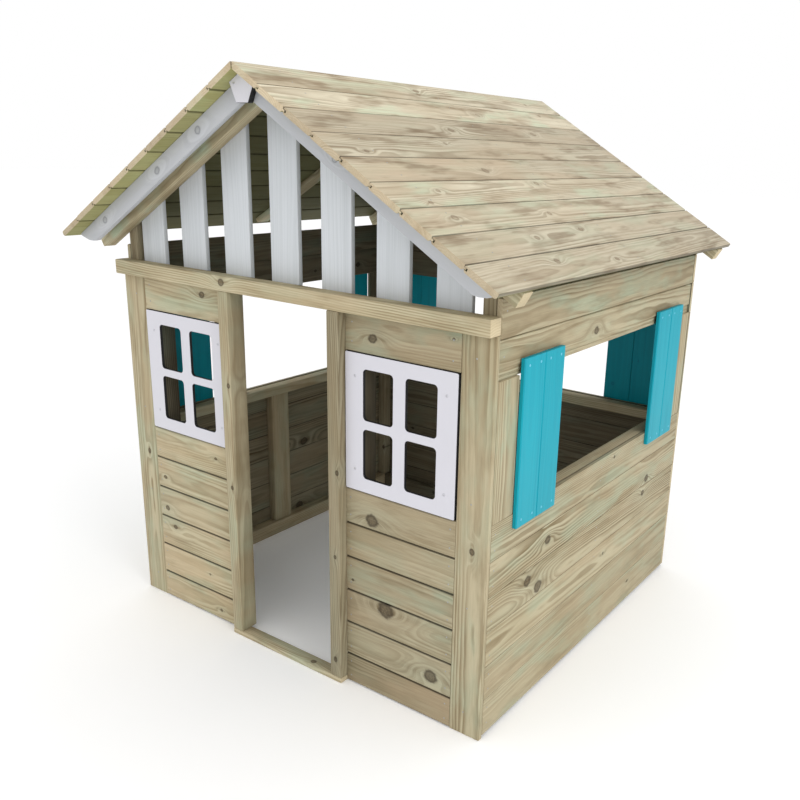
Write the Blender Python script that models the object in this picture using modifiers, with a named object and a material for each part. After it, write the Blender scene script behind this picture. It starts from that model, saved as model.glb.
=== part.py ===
"""Timber children's playhouse: boarded walls, slatted front gable, boarded roof, painted shutters.

Metres, +Z up. The front faces -Y. The origin is on the ground under the middle of the roof.
"""
from math import atan, cos, pi, sin

import bmesh
import bpy

# Walls
WIDTH = 1.200
DEPTH = 1.112
BOARD = 0.014
GAP = 0.0003
ARRIS = 0.0015
V_JOINT = 0.003

# Roof
ROOF_LENGTH = 1.304
ROOF_OVERHANG_FRONT = 0.124
ROOF_PITCH = atan(0.594)
ROOF_BOARDS = 9
ROOF_COVER = 0.0874
RIDGE_UNDERSIDE = 1.446

# Timber sections
RAFTER = 0.036
RAFTER_END_SET_BACK = 0.0005
BATTEN_WIDTH = 0.045
BATTEN_DEPTH = 0.014
BATTEN_END = 0.735
POST_WIDTH = 0.032
POST_DEPTH = 0.036
STUD_WIDTH = 0.036
STUD_DEPTH = 0.036
SILL_RAIL_HEIGHT = 0.030
SILL_RAIL_DROP = 0.002

# Front wall, measured from its front face and from the middle of the doorway
STILE_WIDTH = 0.084
LINTEL_BOTTOM = 0.952
LINTEL_HEIGHT = 0.038
LINTEL_PROUD = 0.026
JAMB_INNER = 0.163
JAMB_WIDTH = 0.0355
JAMB_PROUD = 0.024
JAMB_DEPTH = 0.052
THRESHOLD_HEIGHT = 0.014
THRESHOLD_DEPTH = 0.036
FRONT_JOINTS = (0.080, 0.170, 0.260, 0.350, 0.440)
FRONT_SILL = 0.530
FRONT_HEAD = 0.864

# Window boards in the front wall
WINDOW_WIDTH = 0.312
WINDOW_HEIGHT = 0.330
WINDOW_THICKNESS = 0.0078
WINDOW_PROUD = 0.003
PANE_WIDTH = 0.086
PANE_HEIGHT = 0.1205
MULLION = 0.0345
GLAZING_BAR = 0.021
PANE_RADIUS = 0.010
WINDOW_RADIUS = 0.004
CORNER_STEPS = 3
STUD_FROM_WINDOW_EDGE = 0.011

# Side and back walls, which share their heights
SIDE_BOTTOM = 0.008
SIDE_JOINTS = (0.102, 0.189, 0.276, 0.363, 0.450)
SIDE_SILL = 0.537
SIDE_HEAD = 0.855
SIDE_LIP_TOP = 0.879
SIDE_LIP_DEPTH = 0.004
SIDE_TOP_JOINT = 0.943
SIDE_TOP = 1.027
TOP_BOARD_PROUD = 0.003
GABLE_JOINTS = (1.027, 1.114, 1.201, 1.288, 1.375)

# Shutters
SHUTTER_WIDTH = 0.179
SHUTTER_HEIGHT = 0.388
SHUTTER_THICKNESS = 0.011
SHUTTER_BOTTOM = 0.503
SHUTTER_GROOVE = 0.002

# Slats in the front gable
SLAT_COUNT = 7
SLAT_PITCH = 0.161
SLAT_WIDTH = 0.090
SLAT_THICKNESS = 0.012
SLAT_BOTTOM = 0.9535

# Barge boards and the plate over their joint
BARGE_FRONT = 0.082
BARGE_HEIGHT = 0.052
BARGE_TIP = 0.656
BARGE_END = ((0.6535, 1.0500), (0.6230, 1.0415), (0.6040, 1.0410))
BARGE_END_FOOT = 0.590
PLATE_THICKNESS = 0.0145
PLATE_SHOULDER = 0.0375
PLATE_BOTTOM_HALF = 0.018
PLATE_BOTTOM = 1.3815
PLATE_SHOULDER_HEIGHT = 0.0405

# Worked out from the above
FRONT = ROOF_OVERHANG_FRONT - ROOF_LENGTH / 2
BACK = FRONT + DEPTH
HALF = WIDTH / 2
SLOPE = sin(ROOF_PITCH) / cos(ROOF_PITCH)
STILE_INNER = HALF - STILE_WIDTH
JAMB_OUTER = JAMB_INNER + JAMB_WIDTH
END_BOARD = STILE_WIDTH
POST_OUTER = HALF - BOARD - GAP
POST_INNER = POST_OUTER - POST_WIDTH
SIDES = (("left", -1), ("right", 1))


def new_collection(name):
    """A collection under the scene's own."""
    made = bpy.data.collections.new(name)
    bpy.context.scene.collection.children.link(made)
    return made


def new_material(name, colour, roughness):
    """A Principled material in one colour."""
    made = bpy.data.materials.new(name)
    made.use_nodes = True
    shader = made.node_tree.nodes["Principled BSDF"]
    shader.inputs["Base Color"].default_value = (*colour, 1.0)
    shader.inputs["Roughness"].default_value = roughness
    shader.inputs["Metallic"].default_value = 0.0
    made.diffuse_color = (*colour, 1.0)
    return made


def add_bevel(obj, width):
    """Eased arrises on the sharp edges."""
    bevel = obj.modifiers.new("arris", "BEVEL")
    bevel.width = width
    bevel.segments = 1
    bevel.limit_method = "ANGLE"


def box(name, low, high, material, arris=ARRIS):
    """A squared timber between two opposite corners."""
    size = [high[i] - low[i] for i in range(3)]
    shape = bmesh.new()
    bmesh.ops.create_cube(shape, size=1.0)
    bmesh.ops.scale(shape, vec=size, verts=shape.verts)
    mesh = bpy.data.meshes.new(name)
    shape.to_mesh(mesh)
    shape.free()
    mesh.materials.append(material)
    obj = bpy.data.objects.new(name, mesh)
    obj.location = [(low[i] + high[i]) / 2 for i in range(3)]
    parts.objects.link(obj)
    if arris:
        add_bevel(obj, arris)
    return obj


TURNS = {"X": (pi / 2, 0, pi / 2), "Y": (pi / 2, 0, 0), "Z": (0, 0, 0)}


def prism(name, outlines, axis, start, end, material, group=None):
    """A flat outline, with any holes, extruded along a world axis.

    Outline points are (y, z) along X, (x, z) along Y and (x, y) along Z.
    """
    curve = bpy.data.curves.new(name, "CURVE")
    curve.dimensions = "2D"
    curve.fill_mode = "BOTH"
    curve.extrude = (end - start) / 2
    for outline in outlines:
        spline = curve.splines.new("POLY")
        spline.points.add(len(outline) - 1)
        for point, (u, v) in zip(spline.points, outline):
            point.co = (u, v, 0.0, 1.0)
        spline.use_cyclic_u = True
    drawn = bpy.data.objects.new(name + "_outline", curve)
    drawn.rotation_euler = TURNS[axis]
    drawn.location["XYZ".index(axis)] = (start + end) / 2
    parts.objects.link(drawn)
    bpy.context.view_layer.update()
    graph = bpy.context.evaluated_depsgraph_get()
    mesh = bpy.data.meshes.new_from_object(drawn.evaluated_get(graph))
    placed = drawn.matrix_world.copy()
    bpy.data.objects.remove(drawn, do_unlink=True)
    bpy.data.curves.remove(curve)
    weld = bmesh.new()
    weld.from_mesh(mesh)
    bmesh.ops.remove_doubles(weld, verts=weld.verts, dist=0.00001)
    bmesh.ops.recalc_face_normals(weld, faces=weld.faces)
    weld.to_mesh(mesh)
    weld.free()
    mesh.name = name
    mesh.materials.clear()
    mesh.materials.append(material)
    obj = bpy.data.objects.new(name, mesh)
    obj.matrix_world = placed
    (group or parts).objects.link(obj)
    return obj


def boarded(face, back, bottom, top, joints):
    """Section through stacked boards: (depth, height), with a V at each joint of the outer face."""
    notch = V_JOINT if back > face else -V_JOINT
    outline = [(back, bottom), (face, bottom)]
    for joint in joints:
        outline.append((face, joint - V_JOINT))
        outline.append((face + notch, joint))
        outline.append((face, joint + V_JOINT))
    outline.append((face, top))
    outline.append((back, top))
    return outline


def rounded(low, high, radius, steps):
    """A rectangle with round corners, anticlockwise."""
    points = []
    corners = (
        (high[0] - radius, high[1] - radius),
        (low[0] + radius, high[1] - radius),
        (low[0] + radius, low[1] + radius),
        (high[0] - radius, low[1] + radius),
    )
    for quarter, (u, v) in enumerate(corners):
        for step in range(steps + 1):
            angle = (quarter + step / steps) * pi / 2
            points.append((u + radius * cos(angle), v + radius * sin(angle)))
    return points


def roof_point(side, along, above):
    """(x, z) at a distance down the slope from the ridge, above the roof's underside."""
    x = along * cos(ROOF_PITCH) + above * sin(ROOF_PITCH)
    z = RIDGE_UNDERSIDE - along * sin(ROOF_PITCH) + above * cos(ROOF_PITCH)
    return side * x, z


def under_roof(x, clearance=0.0):
    """Height of the roof's underside at x, less a clearance square to the slope."""
    return RIDGE_UNDERSIDE - SLOPE * abs(x) - clearance / cos(ROOF_PITCH)


def span(a, b):
    """Two values in rising order."""
    return (a, b) if a < b else (b, a)


# Front wall
def build_front(timber, window_board):
    """Threshold, jambs, stiles, lintel, boards, studs and the two window boards."""
    box(
        "threshold",
        (-JAMB_OUTER, FRONT - JAMB_PROUD, 0),
        (JAMB_OUTER, FRONT - JAMB_PROUD + THRESHOLD_DEPTH, THRESHOLD_HEIGHT),
        timber,
    )
    box(
        "lintel",
        (-HALF, FRONT - LINTEL_PROUD, LINTEL_BOTTOM + GAP),
        (HALF, FRONT + BOARD, LINTEL_BOTTOM + LINTEL_HEIGHT),
        timber,
    )
    for label, side in SIDES:
        x = span(side * STILE_INNER, side * HALF)
        box("front_stile_" + label, (x[0], FRONT, 0), (x[1], FRONT + BOARD, LINTEL_BOTTOM), timber)
        x = span(side * JAMB_INNER, side * JAMB_OUTER)
        box(
            "door_jamb_" + label,
            (x[0], FRONT - JAMB_PROUD, THRESHOLD_HEIGHT + GAP),
            (x[1], FRONT - JAMB_PROUD + JAMB_DEPTH, LINTEL_BOTTOM),
            timber,
        )
        x = span(side * (JAMB_OUTER + GAP), side * (STILE_INNER - GAP))
        section = boarded(FRONT, FRONT + BOARD, 0, FRONT_SILL, FRONT_JOINTS)
        prism("front_lower_boards_" + label, [section], "X", x[0], x[1], timber)
        box(
            "front_top_board_" + label,
            (x[0], FRONT, FRONT_HEAD),
            (x[1], FRONT + BOARD, LINTEL_BOTTOM),
            timber,
        )
        build_window(label, side, timber, window_board)


def build_window(label, side, timber, window_board):
    """A board with four panes cut out, and the two studs it is screwed to."""
    centre = side * (JAMB_OUTER + STILE_INNER) / 2
    middle = (FRONT_SILL + FRONT_HEAD) / 2
    low = (centre - WINDOW_WIDTH / 2, middle - WINDOW_HEIGHT / 2)
    high = (centre + WINDOW_WIDTH / 2, middle + WINDOW_HEIGHT / 2)
    outlines = [rounded(low, high, WINDOW_RADIUS, CORNER_STEPS)]
    for across in (-1, 1):
        for up in (-1, 1):
            u = centre + across * (MULLION + PANE_WIDTH) / 2
            v = middle + up * (GLAZING_BAR + PANE_HEIGHT) / 2
            outlines.append(
                rounded(
                    (u - PANE_WIDTH / 2, v - PANE_HEIGHT / 2),
                    (u + PANE_WIDTH / 2, v + PANE_HEIGHT / 2),
                    PANE_RADIUS,
                    CORNER_STEPS,
                )
            )
    face = FRONT - WINDOW_PROUD
    seat = face + WINDOW_THICKNESS + GAP
    prism("window_board_" + label, outlines, "Y", face, face + WINDOW_THICKNESS, window_board)
    behind = FRONT + BOARD + GAP
    section = [
        (behind, 0),
        (behind, FRONT_SILL + GAP),
        (seat, FRONT_SILL + GAP),
        (seat, FRONT_HEAD - GAP),
        (behind, FRONT_HEAD - GAP),
        (behind, LINTEL_BOTTOM - GAP),
        (behind + STUD_DEPTH, LINTEL_BOTTOM - GAP),
        (behind + STUD_DEPTH, 0),
    ]
    inner = low[0] if side > 0 else high[0]
    outer = high[0] if side > 0 else low[0]
    for place, edge, inwards in (("inner", inner, side), ("outer", outer, -side)):
        near = edge + inwards * STUD_FROM_WINDOW_EDGE
        x = span(near, near + inwards * STUD_WIDTH)
        prism("window_stud_" + label + "_" + place, [section], "X", x[0], x[1], timber)


# Corner posts
def build_posts(timber):
    """Four posts from the ground to the roof boards."""
    front = FRONT + BOARD + GAP
    rear = BACK - BOARD - GAP
    for label, side in SIDES:
        outline = [
            (side * POST_INNER, 0),
            (side * POST_OUTER, 0),
            (side * POST_OUTER, under_roof(POST_OUTER, GAP)),
            (side * POST_INNER, under_roof(POST_INNER, GAP)),
        ]
        prism("corner_post_front_" + label, [outline], "Y", front, front + POST_DEPTH, timber)
        prism("corner_post_rear_" + label, [outline], "Y", rear - POST_DEPTH, rear, timber)


# Side walls
def build_side(label, side, timber, paint):
    """Boards, sill rail and shutters of one side wall."""
    face = side * HALF
    back = side * (HALF - BOARD)
    start = FRONT + BOARD + GAP
    end = BACK - BOARD - GAP
    lower = boarded(face, back, SIDE_BOTTOM, SIDE_SILL, SIDE_JOINTS)
    prism(label + "_lower_boards", [lower], "Y", start, end, timber)
    upper = stepped_section(face, back, side)
    prism(label + "_upper_boards", [upper], "Y", start, end, timber)
    x = span(face, back)
    for place, y in (("front", start), ("rear", end - END_BOARD)):
        box(
            label + "_end_board_" + place,
            (x[0], y, SIDE_SILL + GAP),
            (x[1], y + END_BOARD, SIDE_HEAD - GAP),
            timber,
        )
    x = span(side * (HALF - BOARD - GAP), side * (HALF - BOARD - POST_DEPTH))
    top = SIDE_SILL - SILL_RAIL_DROP
    box(
        label + "_sill_rail",
        (x[0], start + POST_DEPTH + GAP, top - SILL_RAIL_HEIGHT),
        (x[1], end - POST_DEPTH - GAP, top),
        timber,
    )
    outside = side * (HALF + GAP)
    for place, y in (("front", start + END_BOARD), ("rear", end - END_BOARD - SHUTTER_WIDTH)):
        outline = shutter_section(outside, side, y)
        prism(label + "_shutter_" + place, [outline], "Z", *shutter_heights(), paint)


def stepped_section(face, back, side):
    """The proud top board over a second board, drawn as (depth, height)."""
    recessed = face - side * TOP_BOARD_PROUD
    return [
        (back, SIDE_HEAD),
        (recessed - side * SIDE_LIP_DEPTH, SIDE_HEAD),
        (recessed - side * SIDE_LIP_DEPTH, SIDE_LIP_TOP),
        (recessed, SIDE_LIP_TOP),
        (recessed, SIDE_TOP_JOINT - V_JOINT),
        (recessed - side * V_JOINT, SIDE_TOP_JOINT),
        (face, SIDE_TOP_JOINT),
        (face, SIDE_TOP),
        (back, SIDE_TOP),
    ]


def shutter_heights():
    """Bottom and top of every shutter."""
    return SHUTTER_BOTTOM, SHUTTER_BOTTOM + SHUTTER_HEIGHT


def shutter_section(inside, side, start):
    """Plan of a shutter on a side wall: two boards with a V between them on the outer face."""
    outside = inside + side * SHUTTER_THICKNESS
    middle = start + SHUTTER_WIDTH / 2
    end = start + SHUTTER_WIDTH
    return [
        (inside, start),
        (outside, start),
        (outside, middle - SHUTTER_GROOVE),
        (outside - side * SHUTTER_GROOVE, middle),
        (outside, middle + SHUTTER_GROOVE),
        (outside, end),
        (inside, end),
    ]


# Back wall
def build_back(timber, paint):
    """Boards with the closed gable, sill rail and shutters of the back wall."""
    inner = BACK - BOARD
    lower = boarded(BACK, inner, SIDE_BOTTOM, SIDE_SILL, SIDE_JOINTS)
    prism("back_lower_boards", [lower], "X", -HALF, HALF, timber)
    build_back_gable(inner, timber)
    for label, side in SIDES:
        x = span(side * (HALF - END_BOARD), side * HALF)
        box(
            "back_end_board_" + label,
            (x[0], inner, SIDE_SILL + GAP),
            (x[1], BACK, SIDE_HEAD - GAP),
            timber,
        )
        near = side * (HALF - END_BOARD - GAP)
        x = span(near, near - side * SHUTTER_WIDTH)
        turned = shutter_section(BACK + GAP, 1, x[0])
        outline = [(v, u) for u, v in turned]
        prism("back_shutter_" + label, [outline], "Z", *shutter_heights(), paint)
    top = SIDE_SILL - SILL_RAIL_DROP
    reach = POST_INNER - GAP
    box(
        "back_sill_rail",
        (-reach, inner - POST_DEPTH, top - SILL_RAIL_HEIGHT),
        (reach, inner - GAP, top),
        timber,
    )


def build_back_gable(inner, timber):
    """The boards over the back opening, cut to the rafters."""
    joints = (SIDE_TOP_JOINT,) + GABLE_JOINTS
    clear = RAFTER + GAP
    peak = under_roof(0, clear) - GAP
    section = boarded(BACK, inner, SIDE_HEAD, peak, joints)
    boards = prism("back_upper_boards", [section], "X", -HALF, HALF, timber)
    reach = HALF + BOARD
    outline = [
        (-reach, SIDE_HEAD - BOARD),
        (reach, SIDE_HEAD - BOARD),
        (reach, under_roof(reach, clear)),
        (0, peak),
        (-reach, under_roof(reach, clear)),
    ]
    shape = prism("gable_outline", [outline], "Y", inner - BOARD, BACK + BOARD, timber, cutters)
    shape.hide_render = True
    shape.display_type = "WIRE"
    cut = boards.modifiers.new("gable", "BOOLEAN")
    cut.operation = "INTERSECT"
    cut.object = shape


# Gable slats
def build_slats(paint):
    """Painted slats behind the lintel, their tops cut to the roof."""
    front = FRONT + BOARD + GAP
    for place in range(SLAT_COUNT):
        centre = (place - (SLAT_COUNT - 1) / 2) * SLAT_PITCH
        left = centre - SLAT_WIDTH / 2
        right = centre + SLAT_WIDTH / 2
        outline = [(left, SLAT_BOTTOM), (right, SLAT_BOTTOM), (right, under_roof(right, GAP))]
        if left < 0 < right:
            outline.append((0, under_roof(0, GAP)))
        outline.append((left, under_roof(left, GAP)))
        name = "gable_slat_" + str(place + 1)
        prism(name, [outline], "Y", front, front + SLAT_THICKNESS, paint)


# Roof
def build_roof(roof_timber, timber):
    """Boarded slopes on two pairs of rafters, with a flat batten between them."""
    top_start = -BOARD * SLOPE
    eave = top_start + ROOF_BOARDS * ROOF_COVER
    rows = (
        ("front", FRONT + BOARD - RAFTER),
        ("rear", BACK - BOARD + GAP),
    )
    for label, side in SIDES:
        outline = [
            (side * GAP / 2, under_roof(GAP / 2)),
            (side * GAP / 2, under_roof(GAP / 2, -BOARD)),
        ]
        for joint in range(1, ROOF_BOARDS):
            along = top_start + joint * ROOF_COVER
            outline.append(roof_point(side, along - V_JOINT, BOARD))
            outline.append(roof_point(side, along, BOARD - V_JOINT))
            outline.append(roof_point(side, along + V_JOINT, BOARD))
        outline.append(roof_point(side, eave, BOARD))
        outline.append(roof_point(side, eave, 0))
        ends = (-ROOF_LENGTH / 2, ROOF_LENGTH / 2)
        prism("roof_boards_" + label, [outline], "Y", *ends, roof_timber)
        tail = eave - RAFTER_END_SET_BACK
        rafter = [
            (side * GAP / 2, under_roof(GAP / 2, GAP)),
            roof_point(side, tail, -GAP),
            roof_point(side, tail, -RAFTER),
            (side * GAP / 2, under_roof(GAP / 2, RAFTER)),
        ]
        for place, y in rows:
            prism("rafter_" + place + "_" + label, [rafter], "Y", y, y + RAFTER, timber)
        batten = [
            (side * GAP / 2, under_roof(GAP / 2, GAP)),
            roof_point(side, BATTEN_END, -GAP),
            roof_point(side, BATTEN_END, -BATTEN_DEPTH),
            (side * GAP / 2, under_roof(GAP / 2, BATTEN_DEPTH)),
        ]
        middle = (-BATTEN_WIDTH / 2, BATTEN_WIDTH / 2)
        prism("rafter_middle_" + label, [batten], "Y", *middle, timber)


# Barge boards
def build_barge(barge_paint, window_board):
    """Barge boards under the front edge of the roof, with a plate over their joint."""
    face = FRONT - BARGE_FRONT
    for label, side in SIDES:
        outline = [
            (side * GAP / 2, under_roof(GAP / 2, GAP)),
            (side * BARGE_TIP, under_roof(BARGE_TIP, GAP)),
        ]
        outline += [(side * x, z) for x, z in BARGE_END]
        outline += [
            (side * BARGE_END_FOOT, under_roof(BARGE_END_FOOT) - BARGE_HEIGHT),
            (side * GAP / 2, under_roof(GAP / 2) - BARGE_HEIGHT),
        ]
        prism("barge_board_" + label, [outline], "Y", face, face + BOARD, barge_paint)
    shoulder = PLATE_BOTTOM + PLATE_SHOULDER_HEIGHT
    outline = [
        (-PLATE_BOTTOM_HALF, PLATE_BOTTOM),
        (PLATE_BOTTOM_HALF, PLATE_BOTTOM),
        (PLATE_SHOULDER, shoulder),
        (PLATE_SHOULDER, under_roof(PLATE_SHOULDER, 2 * GAP)),
        (0, under_roof(0, 2 * GAP)),
        (-PLATE_SHOULDER, under_roof(PLATE_SHOULDER, 2 * GAP)),
        (-PLATE_SHOULDER, shoulder),
    ]
    rear = face - GAP
    prism("apex_plate", [outline], "Y", rear - PLATE_THICKNESS, rear, window_board)


for leftover in list(bpy.data.objects):
    bpy.data.objects.remove(leftover, do_unlink=True)

parts = new_collection("timber_playhouse")
cutters = new_collection("cutters")
build_side_timber = new_material("treated_pine", (0.48, 0.42, 0.26), 0.75)
build_roof_timber = new_material("roof_pine", (0.57, 0.46, 0.31), 0.78)
white_board = new_material("white_board", (0.75, 0.73, 0.83), 0.35)
shutter_paint = new_material("turquoise_paint", (0.03, 0.43, 0.55), 0.45)
slat_paint = new_material("pale_grey_paint", (0.61, 0.64, 0.66), 0.55)
barge_paint = new_material("lavender_grey_paint", (0.40, 0.40, 0.48), 0.6)

build_front(build_side_timber, white_board)
build_posts(build_side_timber)
for wall, outward in SIDES:
    build_side(wall, outward, build_side_timber, shutter_paint)
build_back(build_side_timber, shutter_paint)
build_slats(slat_paint)
build_roof(build_roof_timber, build_side_timber)
build_barge(barge_paint, white_board)
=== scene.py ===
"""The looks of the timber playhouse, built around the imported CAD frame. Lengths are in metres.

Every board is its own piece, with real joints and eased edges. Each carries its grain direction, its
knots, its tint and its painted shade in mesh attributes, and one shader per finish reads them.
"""

import random
from math import atan, cos, pi, radians, sin, tan
from types import SimpleNamespace

import bmesh
import bpy
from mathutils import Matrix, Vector


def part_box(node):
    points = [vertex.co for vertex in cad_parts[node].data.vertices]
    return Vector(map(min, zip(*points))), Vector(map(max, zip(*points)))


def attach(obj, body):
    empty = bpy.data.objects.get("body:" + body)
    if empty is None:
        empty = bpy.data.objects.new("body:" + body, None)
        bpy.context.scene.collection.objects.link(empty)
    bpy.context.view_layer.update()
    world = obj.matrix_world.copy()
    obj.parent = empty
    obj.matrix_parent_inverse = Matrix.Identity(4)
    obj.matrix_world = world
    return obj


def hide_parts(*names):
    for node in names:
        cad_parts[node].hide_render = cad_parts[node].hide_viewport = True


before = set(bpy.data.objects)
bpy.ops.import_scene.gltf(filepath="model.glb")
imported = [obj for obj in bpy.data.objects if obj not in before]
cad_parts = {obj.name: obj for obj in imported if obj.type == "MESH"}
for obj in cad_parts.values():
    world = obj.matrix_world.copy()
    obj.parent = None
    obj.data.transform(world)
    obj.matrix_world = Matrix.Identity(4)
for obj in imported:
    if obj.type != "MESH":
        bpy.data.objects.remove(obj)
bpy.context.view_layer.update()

X, Y, Z = Vector((1, 0, 0)), Vector((0, 1, 0)), Vector((0, 0, 1))
LABELS = ("left", "right")
SIDES = (("left", -1), ("right", 1))
SPOTS = ("front", "rear")
RAFTERS = ("front", "middle", "rear")
KNOTS = ("knot_a", "knot_b", "knot_c")
SPARE_KNOT = (-9.0, -9.0, 0.001)  # far off every board


# ---- colour and shader helpers
def linear(red, green, blue):
    """A display colour, 0 to 255, as the shader's linear colour."""
    made = []
    for level in (red, green, blue):
        level /= 255
        made.append(level / 12.92 if level <= 0.04045 else ((level + 0.055) / 1.055) ** 2.4)
    return (*made, 1.0)


def palette(**levels):
    """Named display colours as linear colours."""
    return SimpleNamespace(**{name: linear(*level) for name, level in levels.items()})


class Graph:
    """Short calls for building one material's nodes."""

    def __init__(self, name):
        self.material = bpy.data.materials.new(name)
        self.material.use_nodes = True
        self.tree = self.material.node_tree
        self.shader = self.tree.nodes["Principled BSDF"]

    def feed(self, socket, value):
        """Link a socket, or set its number or colour."""
        if isinstance(value, bpy.types.NodeSocket):
            self.tree.links.new(value, socket)
        else:
            socket.default_value = value

    def node(self, kind, inputs, **settings):
        """A new node's outputs, its inputs fed by name or number."""
        made = self.tree.nodes.new("ShaderNode" + kind)
        for name, value in settings.items():
            setattr(made, name, value)
        for name, value in inputs.items():
            self.feed(made.inputs[name], value)
        return made.outputs

    def maths(self, operation, *values, clamp=False):
        """A Math node's result."""
        return self.node("Math", dict(enumerate(values)), operation=operation, use_clamp=clamp)[0]

    def times(self, first, second, clamp=False):
        """first * second."""
        return self.maths("MULTIPLY", first, second, clamp=clamp)

    def minus(self, first, second):
        """first - second."""
        return self.maths("SUBTRACT", first, second)

    def over(self, first, second):
        """first / second."""
        return self.maths("DIVIDE", first, second)

    def most(self, first, second):
        """The greater of two values."""
        return self.maths("MAXIMUM", first, second)

    def scale_add(self, value, factor, offset):
        """value * factor + offset."""
        return self.maths("MULTIPLY_ADD", value, factor, offset)

    def invert(self, value):
        """1 - value."""
        return self.scale_add(value, -1.0, 1.0)

    def fall(self, value, rate=1.0):
        """1 at zero, falling away as e to the power of -rate * value."""
        return self.maths("EXPONENT", self.times(value, -rate))

    def split(self, vector):
        """The three parts of a vector."""
        return tuple(self.node("SeparateXYZ", {0: vector}))

    def join(self, x, y, z):
        """A vector from three parts."""
        return self.node("CombineXYZ", {0: x, 1: y, 2: z})[0]

    def attribute(self, name):
        """A mesh attribute as a vector."""
        return self.node("Attribute", {}, attribute_name=name)["Vector"]

    def noise(self, vector, detail=2.0, roughness=0.5, scale=1.0):
        """Noise from 0 to 1, about 0.5."""
        inputs = {"Vector": vector, "Scale": scale, "Detail": detail, "Roughness": roughness}
        return self.node("TexNoise", inputs)[0]

    def step(self, value, low, high):
        """Smoothly 0 below low and 1 above high, or the other way round."""
        limits = (low, high, 0.0, 1.0) if low < high else (high, low, 1.0, 0.0)
        inputs = dict(zip(("From Min", "From Max", "To Min", "To Max"), limits))
        return self.node("MapRange", {"Value": value, **inputs}, interpolation_type="SMOOTHSTEP")[0]

    def mix(self, factor, first, second):
        """Two colours blended."""
        return self.node("Mix", {"Factor": factor, 6: first, 7: second}, data_type="RGBA")[2]

    def layered(self, colour, layers):
        """A colour under layers of (cover, colour), the last one on top."""
        for cover, layer in layers:
            colour = self.mix(cover, colour, layer)
        return colour

    def tint(self, colour, strength):
        """A colour made lighter or darker."""
        return self.node("VectorMath", {0: colour, "Scale": strength}, operation="SCALE")[0]

    def facing(self, direction):
        """The dot product of the surface normal and a direction."""
        normal = self.node("NewGeometry", {})["Normal"]
        return self.node("VectorMath", {0: normal, 1: direction}, operation="DOT_PRODUCT")["Value"]

    def finish(self, **values):
        """The shader's inputs, named with underscores for spaces; the material is returned."""
        for name, value in values.items():
            self.feed(self.shader.inputs[name.replace("_", " ")], value)
        return self.material

    def bump(self, height, strength, distance):
        """A height field as the shader's normal."""
        return self.node("Bump", {"Strength": strength, "Distance": distance, "Height": height})[0]


# A knot's numbers are shares of its radius, or counts of it.
OUTLINE_STRETCH = 0.7  # the knot's own outline along the board
FIELD_STRETCH = 0.42  # the swelling of the rings along the board
OUTLINE_WOBBLE = 0.9
RING_SWELL = 1.7
HEART_EDGE = 0.72
RIM_SHARPNESS = 4.2
RIM_OFFSET = -3.9  # with the sharpness, the rim lies at 0.93 of the radius
HALO_RATE = 0.16
TRAIL_LENGTH = 4.5
TRAIL_WIDTH = 0.8


def knot_field(g, along, across, wobble):
    """Swelling, heart, rim, halo and dark trails round a board's knots."""
    swell, heart, rim, halo, trail = 0.0, 0.0, 0.0, 0.0, 0.0
    for knot in KNOTS:
        knot_along, knot_across, radius = g.split(g.attribute(knot))
        off_along = g.minus(along, knot_along)
        off_across = g.minus(across, knot_across)
        square = g.times(off_across, off_across)
        stretched = g.times(off_along, FIELD_STRETCH)
        far = g.over(g.maths("SQRT", g.scale_add(stretched, stretched, square)), radius)
        near = g.maths("SQRT", g.scale_add(off_along, g.times(off_along, OUTLINE_STRETCH), square))
        near = g.minus(g.over(near, radius), OUTLINE_WOBBLE / 2)
        near = g.scale_add(wobble, OUTLINE_WOBBLE, near)
        fade = g.maths("POWER", g.times(far, 0.5), 2.0)
        swell = g.scale_add(g.fall(fade), g.times(radius, RING_SWELL), swell)
        heart = g.most(heart, g.step(near, 1.0, HEART_EDGE))
        offset = g.maths("ABSOLUTE", g.scale_add(near, RIM_SHARPNESS, RIM_OFFSET))
        rim = g.most(rim, g.fall(g.maths("POWER", offset, 2.0)))
        halo = g.most(halo, g.fall(g.times(far, far), HALO_RATE))
        reach = g.over(g.maths("ABSOLUTE", off_along), g.times(radius, TRAIL_LENGTH))
        spine = g.over(g.maths("ABSOLUTE", off_across), g.times(radius, TRAIL_WIDTH))
        trail = g.most(trail, g.fall(g.scale_add(spine, spine, g.times(reach, reach))))
    return swell, heart, rim, halo, trail


RIPPLE = 0.0024  # how far fine noise bends the rings
BAND_RIPPLE = 0.0022  # how far the bands bend them again
CHAMFER_HEIGHT = (0.0050, 0.0062)  # height over the inner face at which the inner face ends
INNER_FACE = (0.0006, 0.0014)  # height at which its chamfer begins
OUTER_FACE = (-0.0005, -0.0013)  # depth at which the painted shade of a joint begins
SHELTER = (-0.02, 0.03)  # distance past the open end in which the painted shade comes up


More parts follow.
